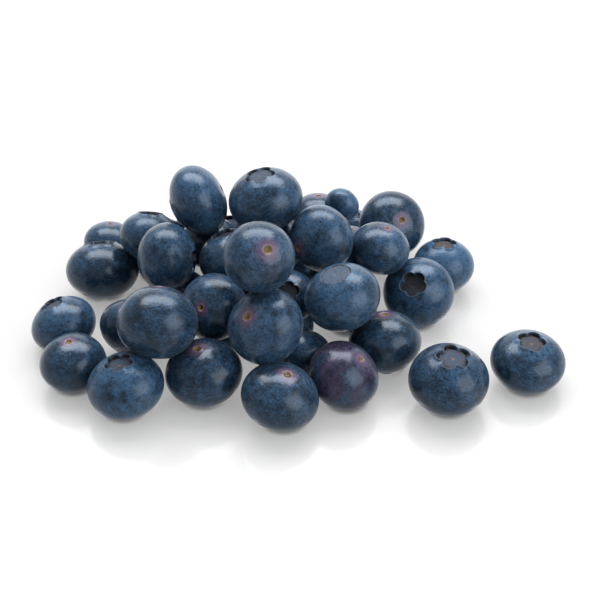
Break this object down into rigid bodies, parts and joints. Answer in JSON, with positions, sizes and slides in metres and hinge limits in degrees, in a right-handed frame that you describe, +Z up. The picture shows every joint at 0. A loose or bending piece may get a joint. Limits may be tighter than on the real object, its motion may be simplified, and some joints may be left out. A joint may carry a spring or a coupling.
{
  "type": "heap of blueberries",
  "caption": "Low heap of fresh ripe berries with five-lobed crowns, lying on a flat surface as tipped out, with two berries rolled off to one side.",
  "frame": {"origin": "on the surface that the berries lie on, under the middle of the whole layout", "axes": "+X to the picture's right, along the longest side and towards the two loose berries; +Y away from the viewer; +Z up"},
  "size_m": [0.1226, 0.088, 0.0391],
  "materials": {
    "berry_skin": "dark navy skin under a thin, patchy, dusty blue-grey bloom that is rubbed off in places"
  },
  "bodies": {
    "root": {"heap": "berry_skin", "loose_berry_near": "berry_skin", "loose_berry_far": "berry_skin"}
  },
  "joints": []
}
